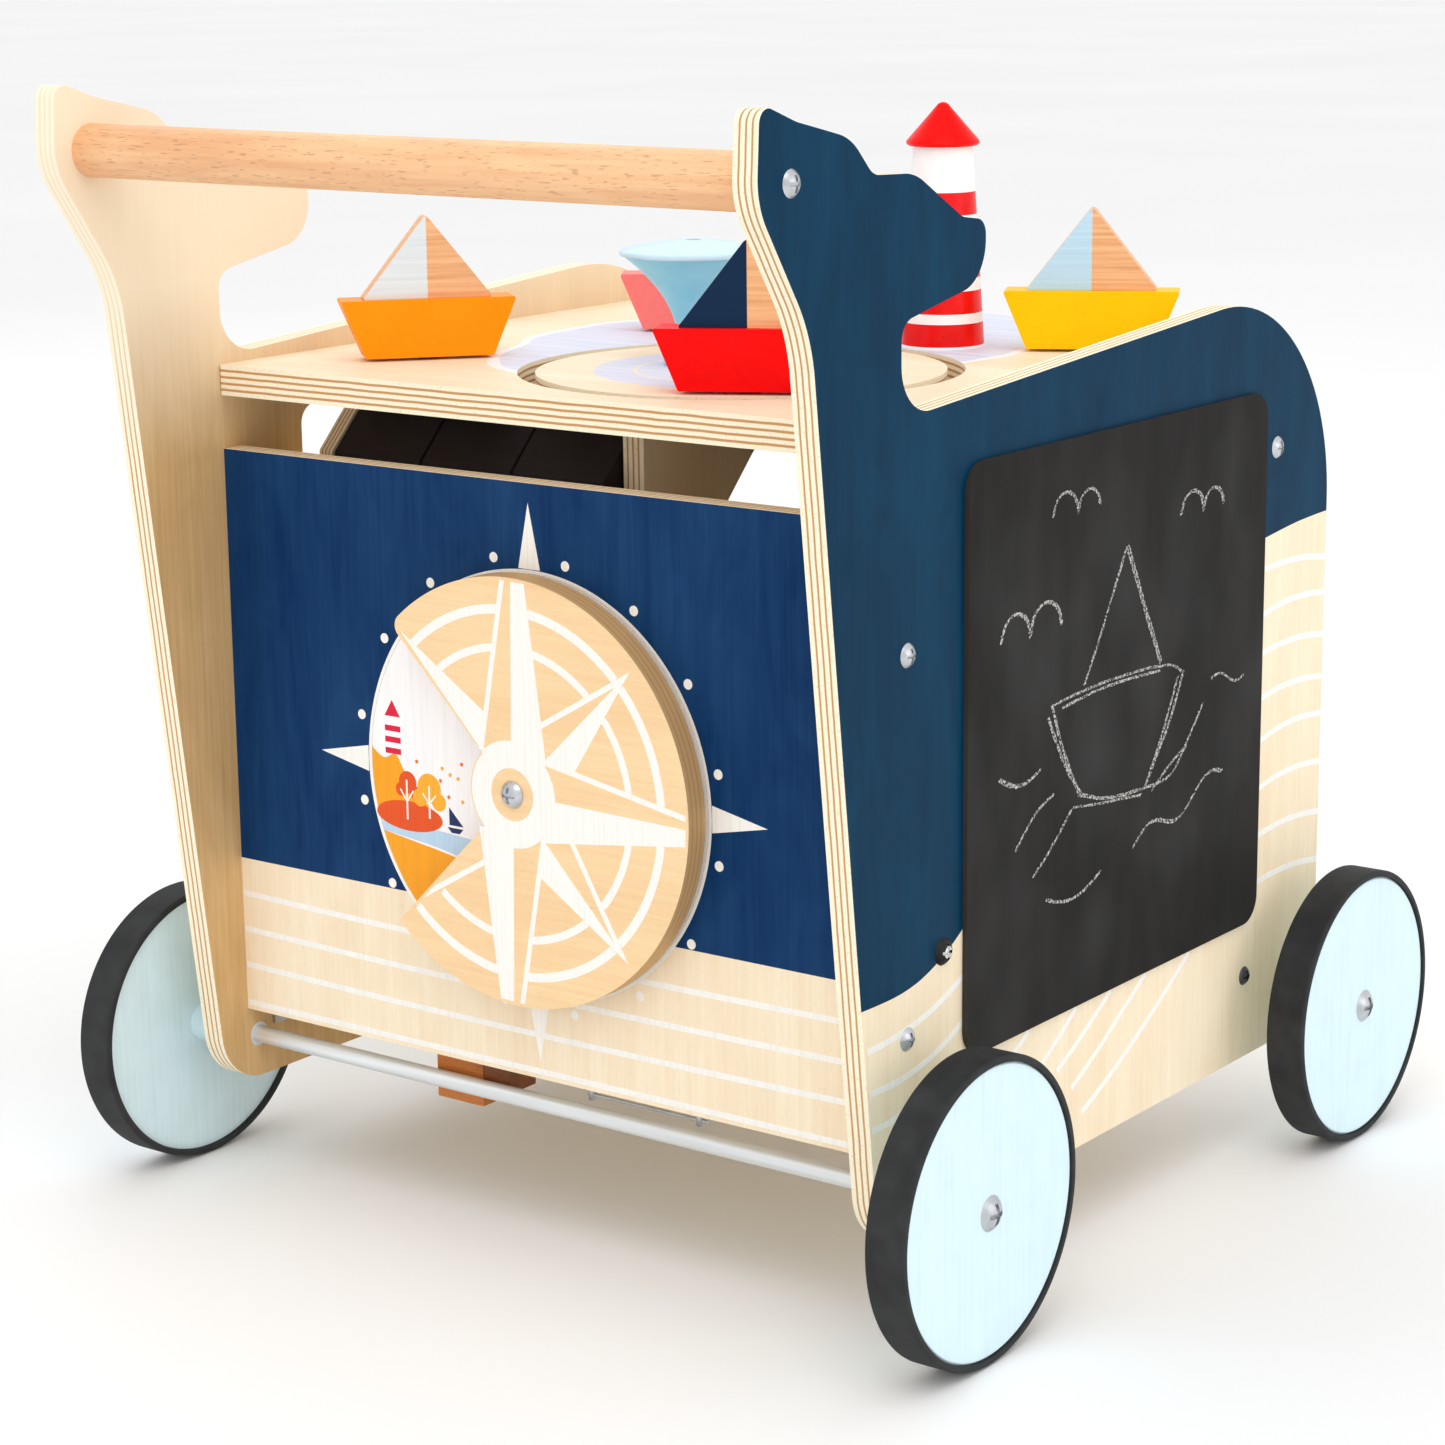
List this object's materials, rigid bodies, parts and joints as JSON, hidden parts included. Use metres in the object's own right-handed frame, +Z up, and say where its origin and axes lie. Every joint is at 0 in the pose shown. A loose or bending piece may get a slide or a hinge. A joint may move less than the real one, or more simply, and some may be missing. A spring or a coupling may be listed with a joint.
{
  "type": "baby walker",
  "caption": "Push-along wooden walker: bear-shaped side panels on rubber-tyred wheels, a play table with boats and a turntable, a turning compass disc and a chalkboard.",
  "frame": {"origin": "on the floor, under the middle of the walker's outline; the middle between the axles is 15 mm ahead of it", "axes": "+X to the walker's right, +Y forward (the bears' noses point forward), +Z up"},
  "size_m": [0.4086, 0.437, 0.4481],
  "materials": {
    "birch_ply": "clear lacquered birch plywood",
    "table_ply": "birch plywood with a pale printed sea",
    "printed_ply": "birch plywood with navy print",
    "beech": "clear lacquered beech",
    "beech_stained": "orange-brown beech",
    "chalkboard": "matte black chalkboard paint on fibreboard",
    "zinc": "zinc-plated steel",
    "dark_screw": "blackened steel",
    "black_cap": "black screw cap",
    "white_plastic": "white nylon",
    "wheel_disc": "pale blue lacquer",
    "tyre": "matte black rubber",
    "blue_lacquer": "light blue lacquered beech",
    "red_lacquer": "red lacquered beech",
    "navy_lacquer": "navy lacquered beech",
    "pale_lacquer": "pale blue lacquered beech",
    "orange_lacquer": "orange lacquered beech",
    "yellow_lacquer": "yellow lacquered beech",
    "coral_lacquer": "coral lacquered beech",
    "white_lacquer": "white lacquer with red bands",
    "peg": "dark stained dowel",
    "picture_block": "charcoal lacquered wood"
  },
  "bodies": {
    "frame": {"side_panel_right": "birch_ply", "side_panel_left": "birch_ply", "play_table": "table_ply", "back_panel": "printed_ply", "front_panel": "birch_ply", "bottom_board": "birch_ply", "divider": "birch_ply", "rear_battens": "beech", "table_dowels": "beech", "chalkboard": "chalkboard", "push_bar": "beech", "push_bar_bolts": "zinc", "panel_screws": "zinc", "bottom_screws": "dark_screw", "capped_screws": "black_cap", "axle_bushes": "white_plastic", "brake_shoe": "beech_stained", "brake_backing": "beech_stained", "brake_spring": "zinc", "corner_brackets": "zinc", "compass_washer": "zinc", "compass_bolt": "zinc", "turntable_bearer": "beech", "turntable_washer": "zinc", "turntable_bolt": "zinc", "lighthouse_tower": "white_lacquer", "lighthouse_roof": "red_lacquer", "lighthouse_dowel": "beech", "roller_rod": "zinc", "roller_bracket": "birch_ply"},
    "rear_wheels": {"rear_axle": "zinc", "wheel_disc_rear_right": "wheel_disc", "wheel_disc_rear_left": "wheel_disc", "tyre_rear_right": "tyre", "tyre_rear_left": "tyre", "hub_screws_rear": "zinc"},
    "front_wheels": {"front_axle": "zinc", "wheel_disc_front_right": "wheel_disc", "wheel_disc_front_left": "wheel_disc", "tyre_front_right": "tyre", "tyre_front_left": "tyre", "hub_screws_front": "zinc"},
    "compass": {"compass_disc": "printed_ply"},
    "turntable": {"turntable": "table_ply", "knob_screw": "zinc", "red_hull": "red_lacquer", "red_sail": "navy_lacquer", "red_peg": "peg"},
    "knob": {"knob": "blue_lacquer"},
    "orange_boat": {"orange_hull": "orange_lacquer", "orange_sail": "pale_lacquer", "orange_peg": "peg"},
    "yellow_boat": {"yellow_hull": "yellow_lacquer", "yellow_sail": "pale_lacquer", "yellow_peg": "peg"},
    "coral_boat": {"coral_hull": "coral_lacquer", "coral_peg": "peg"},
    "picture_block_1": {"picture_block_1": "picture_block"},
    "picture_block_2": {"picture_block_2": "picture_block"},
    "picture_block_3": {"picture_block_3": "picture_block"}
  },
  "joints": [
    {"name": "rear_wheels_roll", "type": "hinge", "parent": "frame", "child": "rear_wheels", "pos_m": [0, -0.131, 0.0575], "axis": [1, 0, 0], "continuous": true},
    {"name": "front_wheels_roll", "type": "hinge", "parent": "frame", "child": "front_wheels", "pos_m": [0, 0.161, 0.0575], "axis": [1, 0, 0], "continuous": true},
    {"name": "compass_turn", "type": "hinge", "parent": "frame", "child": "compass", "pos_m": [0, -0.145, 0.186], "axis": [0, 1, 0], "continuous": true},
    {"name": "turntable_turn", "type": "hinge", "parent": "frame", "child": "turntable", "pos_m": [0.027, -0.039, 0.331], "axis": [0, 0, 1], "continuous": true},
    {"name": "knob_turn", "type": "hinge", "parent": "turntable", "child": "knob", "pos_m": [0.003, -0.037, 0.36], "axis": [0, 0, 1], "continuous": true},
    {"name": "orange_boat_turn", "type": "hinge", "parent": "frame", "child": "orange_boat", "pos_m": [-0.099, -0.078, 0.336], "axis": [0, 0, 1], "continuous": true},
    {"name": "yellow_boat_turn", "type": "hinge", "parent": "frame", "child": "yellow_boat", "pos_m": [0.112, 0.081, 0.336], "axis": [0, 0, 1], "continuous": true},
    {"name": "coral_boat_turn", "type": "hinge", "parent": "frame", "child": "coral_boat", "pos_m": [-0.061, 0.055, 0.336], "axis": [0, 0, 1], "continuous": true},
    {"name": "picture_block_1_turn", "type": "hinge", "parent": "frame", "child": "picture_block_1", "pos_m": [-0.111, -0.061, 0.283], "axis": [1, 0, 0], "continuous": true},
    {"name": "picture_block_2_turn", "type": "hinge", "parent": "frame", "child": "picture_block_2", "pos_m": [-0.065, -0.061, 0.283], "axis": [1, 0, 0], "continuous": true},
    {"name": "picture_block_3_turn", "type": "hinge", "parent": "frame", "child": "picture_block_3", "pos_m": [-0.018, -0.061, 0.283], "axis": [1, 0, 0], "continuous": true}
  ]
}
